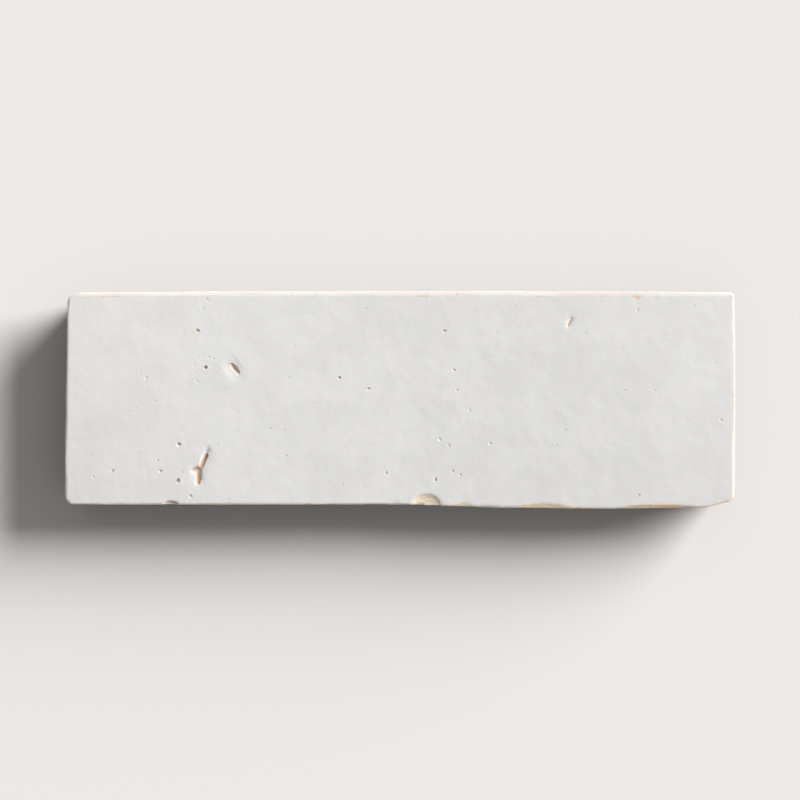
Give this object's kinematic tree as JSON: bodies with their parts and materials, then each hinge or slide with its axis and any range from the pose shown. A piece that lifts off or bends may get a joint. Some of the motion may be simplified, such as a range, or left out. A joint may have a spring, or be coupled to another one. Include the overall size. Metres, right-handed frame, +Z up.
{
  "type": "zellige tile",
  "caption": "Hand-cut rectangular wall tile of fired clay with a wavy white glazed face, rounded and chipped arrises and leaning chiselled sides.",
  "frame": {"origin": "middle of the tile's back, on the plane it is bedded on", "axes": "+X along the tile, +Y across it, +Z up out of the glazed face"},
  "size_m": [0.1498, 0.0488, 0.012],
  "materials": {
    "glazed_clay": "glossy tin-white glaze with pinholes, over bare buff clay on the sides and the back"
  },
  "bodies": {
    "root": {"zellige_tile": "glazed_clay"}
  },
  "joints": []
}
